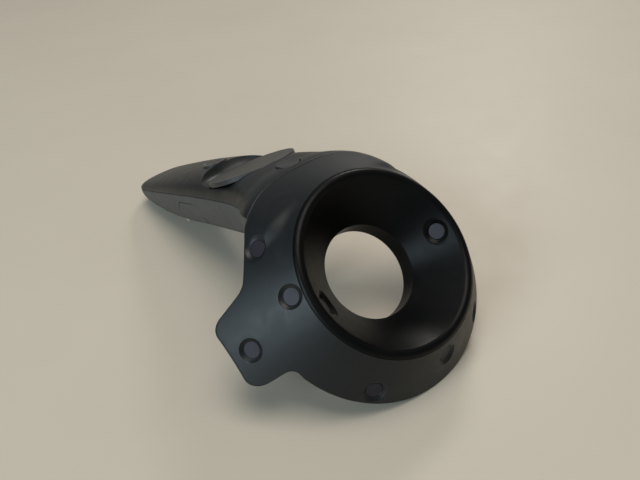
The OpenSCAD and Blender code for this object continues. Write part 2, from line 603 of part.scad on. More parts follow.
module handle_chassis() color([0.2, 0.2, 0.22]) {
    for (side = [-1, 1]) translate([side * 9.4, 0, 0]) difference() {
        side_extrude(2) polygon([[56, 36.2], [62, 34], [74, 35.5], [99, 35.6], [99, 38],
            [74, 43], [66, 42.6], [56, 41.6]]);
        side_extrude(3) translate(pivot) circle(r = pin_r + 0.02);
    }
    pack_frame() difference() {
        translate([-12, -3, 2.6]) cube([24, 60, 1.6]);
        translate([-7, 4, 2]) cube([14, 14, 4]);
        for (x = [-10, 10], y = [12, 52]) translate([x, y, 2]) cylinder(r = 1.1, h = 4);
    }
}
module main_board() color(board_green) pack_frame() difference() {
    translate([-12, 6, 4.6]) cube([24, 50, 1.6]);
    for (x = [-10, 10], y = [12, 52]) translate([x, y, 4]) cylinder(r = 1.1, h = 3);
}
module battery_pack() color([0.55, 0.57, 0.6]) pack_frame() translate([-9.6, 24, -6.4])
    cube([19.2, 40, 8.6]);
module haptic_motor() color(steel) pack_frame() translate([-9.5, 5, -4]) rotate([0, 90, 0]) {
    cylinder(r = 6, h = 19);
}
module antenna_board() color([0.1, 0.15, 0.3]) pack_frame() translate([-7, 60, 3.4])
    cube([14, 12, 1]);
module sensor_flex_cable() color([0.75, 0.5, 0.15]) side_extrude(8) polygon([
    [38, 58.6], [44.5, 52.6], [52, 48], [66, 46.6], [80, 43.8], [95, 40.2], [104.6, 38.6],
    [104.6, 39], [95, 40.7], [80, 44.3], [66, 47.1], [52.3, 48.6], [44.8, 53.2], [38.4, 59]]);
module usb_socket() color(steel) usb_frame() difference() {
    translate([-3.9, -3.5, -1.5]) cube([7.8, 6, 3]);
    translate([-3.4, -2.5, -1]) cube([6.8, 6, 2]);
}
module lanyard_anchor() color([0.2, 0.2, 0.22]) in_frame() difference() {
    translate([-4.4, 174.1, 0.9]) cube([8.8, 7.8, 6.1]);
    difference() {
        translate([-3, 174.9, 0]) cube([6, 6.2, 5.6]);
        translate([-4, 178, 2.1]) rotate([0, 90, 0]) cylinder(r = 1, h = 8);
    }
}
module handle_screws() color(steel) for (p = screw_spots) in_frame()
    translate([p[0], p[1], under_z(p) + 1.9]) screw(1.2, 5, 2.2);

head_front_cover();
ring_funnel();
throat_sleeve();
head_back_cover();
front_sensor_windows();
funnel_sensor_windows();
back_sensor_windows();
sensor_ring_board();
optical_sensors();
head_frame();
sensor_flex_cable();
handle_top_shell();
handle_bottom_shell();
trackpad_disc();
trackpad_sensor_board();
trackpad_carrier();
trackpad_switch();
menu_button();
menu_switch();
system_button();
system_switch();
status_light_pipe();
left_grip_button();
right_grip_button();
grip_switches();
trigger();
trigger_pin();
trigger_spring();
trigger_switch();
trigger_magnet();
trigger_hall_sensor();
handle_chassis();
main_board();
battery_pack();
haptic_motor();
usb_socket();
antenna_board();
lanyard_anchor();
handle_screws();
head_screws();
board_screws();
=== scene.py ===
import json
import math
import bpy
import bmesh
import numpy as np
from mathutils import Matrix, Vector


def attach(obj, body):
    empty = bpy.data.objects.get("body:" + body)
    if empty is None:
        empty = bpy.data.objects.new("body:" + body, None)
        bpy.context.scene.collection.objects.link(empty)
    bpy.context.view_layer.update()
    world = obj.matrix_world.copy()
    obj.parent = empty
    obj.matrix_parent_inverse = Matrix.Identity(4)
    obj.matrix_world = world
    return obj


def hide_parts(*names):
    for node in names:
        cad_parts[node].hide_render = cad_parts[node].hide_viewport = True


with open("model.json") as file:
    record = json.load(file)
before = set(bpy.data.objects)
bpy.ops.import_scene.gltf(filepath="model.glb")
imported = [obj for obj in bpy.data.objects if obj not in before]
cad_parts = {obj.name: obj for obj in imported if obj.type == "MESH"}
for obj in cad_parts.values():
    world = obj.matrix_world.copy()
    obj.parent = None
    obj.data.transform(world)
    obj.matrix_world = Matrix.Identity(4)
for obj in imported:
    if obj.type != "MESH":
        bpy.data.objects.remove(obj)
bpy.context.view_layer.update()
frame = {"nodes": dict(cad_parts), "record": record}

# Lengths are millimetres in the station frame: y runs from the rim circle's centre to the tail.
# Ring coordinates are x across, v along the tilted rim plane towards the handle, h over the plane.
RIM_Y = -83.5
RIM_Z = 45.9
TILT = math.radians(42.5)
LIP_R = 36.8
LIP_ROUND = 2.35
LIP_DEPTH = 0.8
LIP_CENTRE_H = -1.75
CONE_FALL = 1.215
SKIRT_R = 49.8
THROAT_R = 18.9
THROAT_DEPTH = 15.1
RING_DEPTH = 24.2
SLEEVE_R = 20.7
PAN_THICK = 1.8
PAN_SAG = 1.6
SKIN = 2.6
EDGE_KEEP = 0.19
EDGE_ROUND = 0.4
HOLE_R = LIP_R - 0.1
NECK_REACH = 52
NECK_DEPTH = 30
NECK_OPEN = 40
NECK_WIDENING = 0.12
NECK_START = 30.0
NECK_FADE = 0.1
NECK_BLEND = 5
SQUARENESS = 2.5
TOP_SQUARENESS = 2.4
TAIL = 193.8
TAIL_ROUND = 15.0
SEAM_GAP = 0.14
PAD_R = 20.3
PAD_AT = (83.1, 55.4)
PAD_SLOPE = 24.1
PAD_SHIFT = 3.8
MENU_AT, MENU_R, MENU_SLOPE = (54.8, 66.0), 5.0, 11.5
SYSTEM_AT, SYSTEM_R, SYSTEM_SLOPE = (116.5, 44.95), 5.8, 21.0
LIGHT_AT = (127.5, 40.5)
BUTTON_GAP = 0.3
WINDOW_R = 3.2
PIVOT = (60.0, 36.5)
TRIGGER_W = 15.0

# Profiles of the handle as (station, height) or, for HALF_WIDTH, (station, half width).
TOP_LINE = [(15, 60), (28, 64.5), (39, 66), (50, 65.9), (57, 65), (64, 63.5), (72, 61), (83, 57.4),
            (98, 52), (120, 43.5), (143, 34.1), (180, 17.7), (194, 11)]
WIDEST_LINE = [(15, 58), (46, 54), (64, 51.6), (79, 47.3), (101, 40.6), (131, 30.7), (149, 24.1),
               (194, 8)]
BOTTOM_LINE = [(15, 46), (33, 41), (46, 36), (60, 30.5), (77, 25), (109, 15.3), (133, 7.5),
               (150, 3.2), (165, 0.9), (178, 0.2), (194, 0.5)]
HALF_WIDTH = [(15, 24), (27, 28.5), (36, 30.5), (44, 29.5), (50, 27), (56, 24.6), (62, 22.6),
              (70, 21.2), (80, 20.5), (118, 19.9), (140, 19), (155, 18.2), (170, 17.2),
              (182, 15.8), (194, 14.5)]
PARTING_LINE = [(30, 62.5), (44, 60.6), (52, 57.2), (59, 54), (67, 51.4), (88, 45), (115, 36.3),
                (149, 24.2), (194, 7.8)]
# The front cover's edge at the neck and the sensors' places, in ring coordinates.
NECK_EDGE = [(0, 49.2), (12, 48.9), (22, 46.4), (30, 41.8), (34, 38.3)]
FRONT_SENSORS = [(-36.5, 29), (36.5, 29), (-39.1, 7.6), (39.1, 7.6), (-54.8, -0.3),
                 (54.8, -0.3), (-28.1, -36.6), (28.1, -36.6), (2.4, -41.4)]
FUNNEL_SENSORS = [(-28.8, -1.5), (28.8, -1.5)]
BACK_SENSORS = [(-49, 3), (49, 3), (-12, -34), (12, -34)]
# Side outlines and spots as (station, height); screw spots as (across, station).
GRIP_OUTLINE = [(125.5, 28.2), (110.5, 33.4), (99.6, 25), (128.8, 13.6), (128.8, 22.6)]
GRIP_CENTRE = np.array((114.5, 22.6))
TRIGGER_OUTLINE = [(60, 41.5), (54.5, 39.5), (50.8, 34), (51, 24), (48.4, 13.6), (54, 10.6),
                   (59, 18), (66.5, 30.5), (65, 39.5)]
SCREW_SPOTS = [(-11, 137), (11, 137), (-9.5, 165), (9.5, 165)]
HEAD_SCREWS = [(-33, -1, -28.6), (33, -1, -28.6), (-18.9, -27, -23.9), (18.9, -27, -23.9)]


# ---- The body's surface -----------------------------------------------------------------------

def curve(points, s):
    """A smooth curve through the points of a profile."""
    x, y = np.array(points, float).T
    slope = np.empty(len(x))
    slope[1:-1] = (y[2:] - y[:-2]) / (x[2:] - x[:-2])
    slope[0] = (y[1] - y[0]) / (x[1] - x[0])
    slope[-1] = (y[-1] - y[-2]) / (x[-1] - x[-2])
    i = np.clip(np.searchsorted(x, s) - 1, 0, len(x) - 2)
    d = x[i + 1] - x[i]
    t = np.clip((s - x[i]) / d, 0, 1)
    rise = 3 * t ** 2 - 2 * t ** 3
    return (y[i] * (1 - rise) + y[i + 1] * rise + slope[i] * d * t * (1 - t) ** 2
            - slope[i + 1] * d * t * t * (1 - t))


def smooth_min(a, b, k):
    """The smaller of a and b, blended where they are within k of each other."""
    h = np.maximum(k - np.abs(a - b), 0) / k
    return np.minimum(a, b) - h * h * k / 4


def smooth_max(a, b, k):
    """The larger of a and b, blended in the same way."""
    return -smooth_min(-a, -b, k)


def cone_h(r):
    """Height of the head's cone over the rim plane, at distance r from the ring's axis."""
    return -(LIP_DEPTH + (r - LIP_R) * CONE_FALL)


def head_f(x, v, h):
    """Below zero under the head's cone, which has an outer side and a rear only near the neck."""
    r = np.hypot(x, v)
    front = (h - cone_h(r)) * math.cos(math.atan(CONE_FALL))
    side = r - NECK_REACH - NECK_WIDENING * np.maximum(0, NECK_OPEN - v) ** 2
    rear = -NECK_DEPTH - h - 3 * np.maximum(0, 30 - v)
    return smooth_max(smooth_max(front, side, 3), rear, 4)


def section(y):
    """Handle section at a station: half width, widest height, rise, drop and top squareness."""
    t = np.clip((y - TAIL + TAIL_ROUND) / TAIL_ROUND, 0, 1)
    e = np.maximum(0.0003, 1 - t ** SQUARENESS) ** (1 / SQUARENESS)
    mid = curve(WIDEST_LINE, y)
    return (curve(HALF_WIDTH, y) * e, mid, (curve(TOP_LINE, y) - mid) * e,
            (mid - curve(BOTTOM_LINE, y)) * e, TOP_SQUARENESS + np.clip((80 - y) / 30, 0, 1))


def tube_f(x, y, z):
    """Below zero inside the handle."""
    half, mid, rise, drop, square = section(y)
    up = z > mid
    reach = np.where(up, rise, drop)
    p = np.where(up, square, SQUARENESS)
    q = (np.abs(x / half) ** p + np.abs((z - mid) / reach) ** p) ** (1 / p)
    t = np.clip((mid - z) / 12 + 0.5, 0, 1)
    low = t * t * (3 - 2 * t)
    return (q - 1) * np.minimum(half, rise * (1 - low) + drop * low)


def body_f(x, y, z, neck=True):
    """Below zero inside the body. neck is False for the handle without the head's cone."""
    f = tube_f(x, y, z)
    if not neck:
        return f
    v = y * math.cos(TILT) + (z - RIM_Z) * math.sin(TILT)
    h = -y * math.sin(TILT) + (z - RIM_Z) * math.cos(TILT)
    faded = f + NECK_FADE * np.maximum(0, NECK_START - y) ** 2
    return smooth_min(head_f(x, v, h), faded, NECK_BLEND)


def bisect(outside, low, high, steps=30):
    """Elementwise crossing; outside(low) is false and outside(high) is true."""
    for _ in range(steps):
        middle = (low + high) / 2
        out = outside(middle)
        high = np.where(out, middle, high)
        low = np.where(out, low, middle)
    return (low + high) / 2


def ring_to_station(p):
    """Ring coordinates (across, along the ring, over the rim plane) to station coordinates."""
    x, v, h = p[..., 0], p[..., 1], p[..., 2]
    return np.stack([x, v * math.cos(TILT) - h * math.sin(TILT),
                     RIM_Z + v * math.sin(TILT) + h * math.cos(TILT)], -1)


def cover_h(x, v):
    """Height of the front cover's outer face over the rim plane."""
    def outside(h):
        p = ring_to_station(np.stack([x, v, h], -1))
        return body_f(p[..., 0], p[..., 1], p[..., 2]) > 0
    dropped = bisect(outside, np.full(x.shape, -33.0), np.full(x.shape, 14.0))
    share = np.clip((v - 8) / 6, 0, 1)
    return cone_h(np.hypot(x, v)) * (1 - share) + dropped * share


def skin_points(y, a, neck):
    """Points of the body's surface at station y, cast from the middle along angle a."""
    z = curve(PARTING_LINE, y)
    reach = bisect(lambda d: body_f(d * np.cos(a), y, z + d * np.sin(a), neck) > 0,
                   np.zeros(y.shape), np.full(y.shape, 48.0))
    return np.stack([reach * np.cos(a), y, z + reach * np.sin(a)], -1)


def rounding(d, r):
    """How far an edge rounded to radius r has dropped at distance d from it."""
    return r - np.sqrt(np.maximum(0, r * r - np.maximum(0, r - d) ** 2))


# ---- Outlines ---------------------------------------------------------------------------------

def corner(p0, p1, p2, r, n):
    """n + 1 points of the arc of radius r that rounds the corner at p1."""
    p0, p1, p2 = (np.array(p, float) for p in (p0, p1, p2))
    a = (p0 - p1) / np.linalg.norm(p0 - p1)
    b = (p2 - p1) / np.linalg.norm(p2 - p1)
    half = math.acos(max(-1, min(1, a @ b))) / 2
    c = p1 + (a + b) / np.linalg.norm(a + b) * r / math.sin(half)
    s = p1 + a * r / math.tan(half) - c
    e = p1 + b * r / math.tan(half) - c
    turn = math.atan2(s[0] * e[1] - s[1] * e[0], s @ e)
    out = []
    for i in range(n + 1):
        t = turn * i / n
        out.append(c + np.array((s[0] * math.cos(t) - s[1] * math.sin(t),
                                 s[0] * math.sin(t) + s[1] * math.cos(t))))
    return out


def rounded(points, r, n):
    """A closed outline with all its corners rounded to radius r."""
    out = []
    for i, p in enumerate(points):
        out += corner(points[i - 1], p, points[(i + 1) % len(points)], r, n)
    return np.array(out)


def respaced(points, n):
    """n + 1 points at even steps along a path."""
    points = np.array(points)
    run = np.concatenate([[0], np.cumsum(np.linalg.norm(np.diff(points, axis=0), axis=1))])
    t = np.linspace(0, run[-1], n + 1)
    return np.stack([np.interp(t, run, points[:, 0]), np.interp(t, run, points[:, 1])], -1)


def head_outline(n):
    """The front cover's outline in ring coordinates, round from the bottom by the left side."""
    start = [SKIRT_R * np.array((math.cos(a), math.sin(a)))
             for a in np.radians(np.linspace(-90, -158, 60))]
    notch, tip_low, tip_high, root, foot = ((-47.6, -13.6), (-60.2, -13.6), (-60.2, 14),
                                            (-47, 19.4), (-34, 38.3))
    neck = [(-x, float(curve(NECK_EDGE, np.array(x)))) for x in np.linspace(34, 0, 60)]
    left = (start + corner(start[-1], notch, tip_low, 3.5, 10)
            + corner(notch, tip_low, tip_high, 6, 16) + corner(tip_low, tip_high, root, 6, 16)
            + corner(tip_high, root, foot, 9, 12)
            + corner(root, foot, neck[6], 8, 8) + neck[6:])
    left = respaced(left, n // 2)
    return np.concatenate([left, left[::-1][1:-1] * (-1, 1)])


COLS = 720
EDGE = head_outline(COLS)
along = np.roll(EDGE, -1, 0) - np.roll(EDGE, 1, 0)
along /= np.linalg.norm(along, axis=1)[:, None]
INWARD = np.stack([along[:, 1], -along[:, 0]], -1)
TOWARDS = EDGE / np.linalg.norm(EDGE, axis=1)[:, None]
EDGE_H = cover_h(EDGE[:, 0], EDGE[:, 1])


def inset(d):
    """The head's outline moved inwards by d."""
    return EDGE + INWARD * d


# ---- Meshes -----------------------------------------------------------------------------------

def place(points):
    """Station millimetres to the shared frame in metres."""
    return (np.asarray(points, float) + (0, RIM_Y, 0)) / 1000


def mesh_object(name, points, faces, sharp=35):
    """A linked mesh object from points in metres, smooth but for edges over sharp degrees."""
    mesh = bpy.data.meshes.new(name)
    mesh.from_pydata([tuple(p) for p in points], [], faces)
    bm = bmesh.new()
    bm.from_mesh(mesh)
    bmesh.ops.recalc_face_normals(bm, faces=bm.faces)
    bm.to_mesh(mesh)
    bm.free()
    obj = bpy.data.objects.new(name, mesh)
    bpy.context.scene.collection.objects.link(obj)
    shade(obj, sharp)
    return obj


def shade(obj, sharp=35):
    """Smooth shading but for edges over sharp degrees."""
    obj.data.polygons.foreach_set("use_smooth", [True] * len(obj.data.polygons))
    obj.data.set_sharp_from_angle(angle=math.radians(sharp))


def wrap_faces(n, m, close_rows=True):
    """Faces of a grid whose columns wrap round, and its rows too where close_rows is set."""
    faces = []
    for i in range(n if close_rows else n - 1):
        row = (i + 1) % n
        for j in range(m):
            column = (j + 1) % m
            faces.append((i * m + j, row * m + j, row * m + column, i * m + column))
    return faces


def ring_mesh(name, rows, sharp=35):
    """A closed solid from rows of ring coordinates that wrap round in both directions."""
    grid = np.stack(rows)
    n, m = grid.shape[:2]
    return mesh_object(name, place(ring_to_station(grid)).reshape(-1, 3), wrap_faces(n, m), sharp)


def plate_mesh(name, outer, inner, sharp=35):
    """A closed solid between an outer and an inner open grid, in station millimetres."""
    n, m = outer.shape[:2]
    q = n * m
    faces = []
    for i in range(n - 1):
        for j in range(m - 1):
            a = i * m + j
            faces.append((a, a + 1, a + m + 1, a + m))
            faces.append((q + a, q + a + m, q + a + m + 1, q + a + 1))
    for i in range(n - 1):
        a, b = i * m, i * m + m - 1
        faces.append((a, a + m, q + a + m, q + a))
        faces.append((b, q + b, q + b + m, b + m))
    for j in range(m - 1):
        a, b = j, (n - 1) * m + j
        faces.append((a, q + a, q + a + 1, a + 1))
        faces.append((b, b + 1, q + b + 1, q + b))
    points = place(np.concatenate([outer.reshape(-1, 3), inner.reshape(-1, 3)]))
    return mesh_object(name, points, faces, sharp)


def lathe(name, profile, matrix=None, segments=128, sharp=35, closed=False):
    """A solid of revolution about Z. The profile is (radius, height) in mm; unless it is closed,
    its ends lie on the axis or are capped."""
    profile = np.array(profile, float)
    angles = np.linspace(0, 2 * np.pi, segments, endpoint=False)
    n = len(profile)
    grid = np.stack([profile[:, :1] * np.cos(angles), profile[:, :1] * np.sin(angles),
                     np.repeat(profile[:, 1:], segments, 1)], -1) / 1000
    faces = wrap_faces(n, segments, closed)
    if not closed:
        faces += [tuple(range(segments)), tuple(range((n - 1) * segments, n * segments))]
    obj = mesh_object(name, grid.reshape(-1, 3), faces, sharp)
    if matrix is not None:
        obj.data.transform(matrix)
    return obj


def box_object(name, low, high, matrix=None):
    """A plain box between two corners in mm."""
    points = [(x, y, z) for x in (low[0], high[0]) for y in (low[1], high[1])
              for z in (low[2], high[2])]
    faces = [(0, 1, 3, 2), (4, 6, 7, 5), (0, 4, 5, 1), (2, 3, 7, 6), (0, 2, 6, 4), (1, 5, 7, 3)]
    obj = mesh_object(name, np.array(points, float) / 1000, faces)
    if matrix is not None:
        obj.data.transform(matrix)
    return obj


def side_prism(name, outline, x0, x1, bevel=0.0):
    """A side outline of (station, height) extruded across from x0 to x1, with rounded edges."""
    outline = np.asarray(outline, float)
    m = len(outline)
    tangent = np.roll(outline, -1, 0) - np.roll(outline, 1, 0)
    tangent /= np.linalg.norm(tangent, axis=1)[:, None] + 1e-9
    normal = np.stack([tangent[:, 1], -tangent[:, 0]], -1)
    area = np.sum(outline[:, 0] * np.roll(outline[:, 1], -1)
                  - outline[:, 1] * np.roll(outline[:, 0], -1))
    if area < 0:
        normal = -normal
    steps = [(0, 0)] if not bevel else [
        (bevel * (1 - math.cos(a)), bevel * (1 - math.sin(a)))
        for a in np.radians((90, 70, 50, 30, 10, 0))]
    rows = [(x0 + dx, d) for d, dx in steps] + [(x1 - dx, d) for d, dx in steps[::-1]]
    points = []
    for x, d in rows:
        ring = outline - normal * d
        points += [(x, y, z) for y, z in ring]
    n = len(rows)
    faces = wrap_faces(n, m, False) + [tuple(range(m)), tuple(range((n - 1) * m, n * m))]
    return mesh_object(name, place(points), faces)


def joined(name, objects):
    """One object from several, which are then gone."""
    bm = bmesh.new()
    for o in objects:
        part = o.data.copy()
        part.transform(o.matrix_world)
        bm.from_mesh(part)
        bpy.data.meshes.remove(part)
        bpy.data.objects.remove(o)
    mesh = bpy.data.meshes.new(name)
    bm.to_mesh(mesh)
    bm.free()
    obj = bpy.data.objects.new(name, mesh)
    bpy.context.scene.collection.objects.link(obj)
    shade(obj)
    return obj


def cut(obj, tools, sharp=35):
    """Takes the tools away from obj; the tools are then gone."""
    for tool in tools:
        modifier = obj.modifiers.new("cut", "BOOLEAN")
        modifier.operation = "DIFFERENCE"
        modifier.solver = "MANIFOLD"
        modifier.object = tool
    dg = bpy.context.evaluated_depsgraph_get()
    mesh = bpy.data.meshes.new_from_object(obj.evaluated_get(dg))
    obj.modifiers.clear()
    old = obj.data
    obj.data = mesh
    bpy.data.meshes.remove(old)
    for tool in tools:
        bpy.data.objects.remove(tool)
    shade(obj, sharp)
    return obj


def frame_at(point, slope=0.0):
    """Frame at (station, height) in the middle plane; Z leans to the tail by slope degrees."""
    return (Matrix.Translation(Vector(place((0, point[0], point[1]))))
            @ Matrix.Rotation(math.radians(-slope), 4, "X"))


RING = Matrix.Translation(Vector(place((0, 0, RIM_Z)))) @ Matrix.Rotation(TILT, 4, "X")
PAD = frame_at(PAD_AT, PAD_SLOPE)
FUNNEL_FALL = 47.1
FUNNEL_EDGE = (LIP_R - LIP_ROUND - LIP_ROUND * math.sin(math.radians(FUNNEL_FALL)),
               LIP_ROUND * math.cos(math.radians(FUNNEL_FALL)) + LIP_CENTRE_H)


def funnel_h(r):
    """Height of the funnel's straight wall over the rim plane, at distance r from the axis."""
    return FUNNEL_EDGE[1] - (FUNNEL_EDGE[0] - r) * math.tan(math.radians(FUNNEL_FALL))


def ring_spot(x, v, h):
    """Frame at ring coordinates, square to the rim plane."""
    return RING @ Matrix.Translation(Vector((x, v, h)) / 1000)


def at_cover(p):
    """Frame on the front cover's surface, with Z along its normal."""
    x = np.array((p[0] - 1, p[0] + 1, p[0], p[0], p[0]), float)
    v = np.array((p[1], p[1], p[1] - 1, p[1] + 1, p[1]), float)
    h = cover_h(x, v)
    fall = ((h[0] - h[1]) / 2, (h[2] - h[3]) / 2)
    return (ring_spot(p[0], p[1], h[4])
            @ Matrix.Rotation(math.atan2(fall[1], fall[0]), 4, "Z")
            @ Matrix.Rotation(math.atan(math.hypot(*fall)), 4, "Y"))


def at_funnel(p):
    """Frame on the funnel's wall, with Z along its normal."""
    return (ring_spot(p[0], p[1], funnel_h(math.hypot(*p)))
            @ Matrix.Rotation(math.atan2(p[1], p[0]), 4, "Z")
            @ Matrix.Rotation(math.radians(-FUNNEL_FALL), 4, "Y"))


def dimple(matrix):
    """Cutter for a sensor's dimple: a soft rim, a conical wall and the hole for its window."""
    hole = [(WINDOW_R + 0.02, -6), (WINDOW_R + 0.02, -1.15), (WINDOW_R + 0.12, -1.02)]
    wall = [(WINDOW_R + 0.3, -0.97), (WINDOW_R + 1.1, -0.3)]
    rim = [(WINDOW_R + 1.25, -0.18), (WINDOW_R + 1.42, -0.08), (WINDOW_R + 1.65, -0.01),
           (WINDOW_R + 2, 0.06)]
    clear = [(WINDOW_R + 2.3, 0.5), (WINDOW_R + 2.3, 2)]
    return lathe("dimple", hole + wall + rim + clear, matrix, 72)


# ---- Head -------------------------------------------------------------------------------------

def cover_rows():
    """Rows of the front cover's outer face, from the hole's edge almost to the outline."""
    hole = TOWARDS * HOLE_R
    even = np.linspace(0.03, 0.96, 64)
    steps = np.concatenate([[0, 0.006, 0.015], even])
    rows = []
    for t in steps:
        p = hole * (1 - t) + EDGE * t
        rows.append(np.stack([p[:, 0], p[:, 1], cover_h(p[:, 0], p[:, 1])], -1))
    return rows


def with_h(p, h):
    """Plane points p given the heights h over the rim plane."""
    return np.stack([p[:, 0], p[:, 1], h], -1)


def front_cover():
    """Cone-shaped front shell with both wings: outer face, rounded edge and inner face."""
    rows = cover_rows()
    for d in (0.4, 0.3, 0.2, 0.12, 0.05, 0.0):
        p = inset(d + EDGE_KEEP)
        rows.append(with_h(p, cover_h(p[:, 0], p[:, 1]) - rounding(d, EDGE_ROUND)))
    # The chamfer under the edge, then the inner face back to the hole.
    rows.append(with_h(inset(0.9), EDGE_H - 0.85))
    rows.append(with_h(inset(1.35), EDGE_H - 1.2))
    hole = TOWARDS * HOLE_R
    rim = inset(2.2)
    for t in (1, 0.9, 0.75, 0.6, 0.45, 0.3, 0.15, 0):
        p = hole * (1 - t) + rim * t
        rows.append(with_h(p, cover_h(p[:, 0], p[:, 1]) - SKIN))
    obj = ring_mesh("front_cover", rows, 32)
    return cut(obj, [dimple(at_cover(p)) for p in FRONT_SENSORS], 32)


def pan_point(t, up):
    """Row of the rear pan: t runs from the throat to the rim, up is the height over its outside.
    Over the outside, the rim lies further in."""
    a = TOWARDS * (SLEEVE_R + 0.1)
    rim_in, rim_lean, rim_drop = 4, 1.6, 3.65
    p = a * (1 - t) + inset(rim_in + rim_lean * min(1, up)) * t
    h = -RING_DEPTH * (1 - t) + (EDGE_H - rim_drop) * t - PAN_SAG * math.sin(math.pi * t) + up
    return with_h(p, h)


def back_cover():
    """Rear pan and its wall, with the windows' holes, the screws' seats and the neck's opening."""
    rows = [pan_point(t, PAN_THICK) for t in np.linspace(1, 0, 24)]
    rows += [pan_point(t, 0) for t in (0, 0.01, *np.linspace(0.03, 0.95, 30), 0.975)]
    rows += [pan_point(1, 0) * 0.5 + pan_point(0.985, 0) * 0.5, pan_point(1, 0)]
    first, last = pan_point(1, 0), with_h(inset(1.45), EDGE_H - 1.24)
    for s in (0.04, 0.1, 0.3, 0.5, 0.7, 0.88, 0.95, 0.985, 1.0):
        rows.append(first * (1 - s) + last * s)
    p = inset(2.25)
    rows.append(with_h(p, cover_h(p[:, 0], p[:, 1]) - SKIN - 0.06))
    obj = ring_mesh("back_cover", rows, 30)
    tools = []
    for p in BACK_SENSORS:
        tools.append(lathe("hole", [(WINDOW_R + 0.05, -40), (WINDOW_R + 0.05, 0)],
                           ring_spot(p[0], p[1], 0), 64))
    for spot in HEAD_SCREWS:
        tools.append(lathe("hole", [(2.6, -4), (2.6, 0.8), (1.5, 0.8), (1.5, 4)],
                           ring_spot(*spot), 48))
    tools.append(box_object("hole", (-6, 36, -32), (6, 42, -2), RING))
    return cut(obj, tools, 30)


def lip_and_funnel():
    """The rounded lip and the funnel's wall in one, down to the throat."""
    arc = [(LIP_R - LIP_ROUND + LIP_ROUND * math.cos(a), LIP_ROUND * math.sin(a) + LIP_CENTRE_H)
           for a in np.radians(np.linspace(-25, 90 + FUNNEL_FALL, 40))]
    wall = [(r, funnel_h(r)) for r in np.linspace(FUNNEL_EDGE[0], THROAT_R + 0.5, 26)]
    low = funnel_h(THROAT_R)
    turn = [(THROAT_R + 0.28, low + 0.27), (THROAT_R + 0.1, low + 0.12), (THROAT_R, low)]
    profile = [(LIP_R - 2, -3.9)] + arc + wall + turn + [(THROAT_R + 2, low), (LIP_R - 4, -4.9)]
    obj = lathe("lip_and_funnel", profile, RING, 288, 40, closed=True)
    return cut(obj, [dimple(at_funnel(p)) for p in FUNNEL_SENSORS], 40)


def throat():
    """Straight sleeve through the ring, with a flared rear edge and a collar."""
    curl_r, curl_h = 20.2, -22.2
    curl = [(THROAT_R + (curl_r - THROAT_R) * (1 - math.cos(a)),
             curl_h - (RING_DEPTH + curl_h) * math.sin(a))
            for a in np.radians(np.linspace(0, 90, 12))]
    profile = ([(THROAT_R, -THROAT_DEPTH), (THROAT_R, -17), (THROAT_R, -20)] + curl
               + [(SLEEVE_R, -RING_DEPTH), (SLEEVE_R, -17.5), (23, -17.5), (23, -16.2),
                  (SLEEVE_R, -16.2), (SLEEVE_R, -THROAT_DEPTH)])
    return lathe("throat", profile, RING, 192, 40, closed=True)


def window(matrix, top, thick):
    """A lens disc with a fine chamfer; top is its face's height in its frame."""
    r = WINDOW_R
    return lathe("window", [(0.001, top - thick), (r - 0.05, top - thick), (r - 0.02, top - 0.14),
                            (r - 0.16, top), (r * 0.5, top), (0.001, top)], matrix, 64)


def back_window_frame(p):
    """Frame of a rear window: the wings' ones lie lower than the ring's."""
    wing_h, ring_h = -31.6, -23.1
    return ring_spot(p[0], p[1], wing_h if abs(p[0]) > 40 else ring_h)


def head_envelope():
    """Everything between the front cone and the rear pan, with the throat left open."""
    side_gap, front_gap, rear_gap = 0.15, 0.3, 0.12
    rows = [with_h(TOWARDS * SLEEVE_R, np.full(COLS, -5.0))]
    outer = inset(-side_gap)
    hole = TOWARDS * (LIP_R + 0.1)
    for t in (0, 0.25, 0.5, 0.75, 1):
        p = hole * (1 - t) + outer * t
        rows.append(with_h(p, cover_h(p[:, 0], p[:, 1]) + front_gap))
    rows += [pan_point(t, -rear_gap) for t in np.linspace(1, 0, 12)]
    return ring_mesh("envelope", rows)


# ---- Handle -----------------------------------------------------------------------------------

ROWS = 200
ARCS = 120
# Inner faces are not rounded: they lie far from the edges, with hardly any radius.
FAR, UNROUNDED = 9, 0.01


def edge_distances(n, reach):
    """Distances from an edge in mm: fine near it, then even steps, n in all, up to reach."""
    fine = (0, 0.05, 0.12, 0.22, 0.34, 0.5)
    return np.concatenate([fine, np.linspace(fine[-1], reach, n - len(fine) + 1)[1:]])


def shell_grid(starts, angles, neck, level, edge_d, front_d, radius=0.5):
    """A shell's face, level mm under the body's surface, with its edges rounded; starts is each
    angle's first station. The rows stop just short of the tail's end."""
    body_end = TAIL - TAIL_ROUND
    tail_reach = TAIL_ROUND * 0.9995
    rows = []
    tail_steps = np.linspace(0, 1, 31)[1:]
    for d in front_d:
        rows.append(starts + (body_end - starts) * d / front_d[-1])
    for s in tail_steps:
        rows.append(np.full(len(angles), body_end + tail_reach * math.sin(s * math.pi / 2)))
    y = np.array(rows)
    a = np.broadcast_to(angles, y.shape)
    if neck:
        with_neck = skin_points(y, a, True)
        alone = skin_points(y, a, False)
        share = np.clip((y - 78) / 12, 0, 1)[..., None]
        p = with_neck * (1 - share) + alone * share
    else:
        p = skin_points(y, a, False)
    centre = np.stack([np.zeros(y.shape), y, curve(PARTING_LINE, y)], -1)
    out = p - centre
    dist = np.linalg.norm(out, axis=-1, keepdims=True)
    front = np.array([rounding(d, radius) for d in front_d] + [0.0] * len(tail_steps))[:, None]
    side = rounding(edge_d, radius)[None, :]
    shrink = np.minimum(np.maximum(front, side)[..., None] + level, dist * 0.8)
    return centre + out * (1 - shrink / dist)


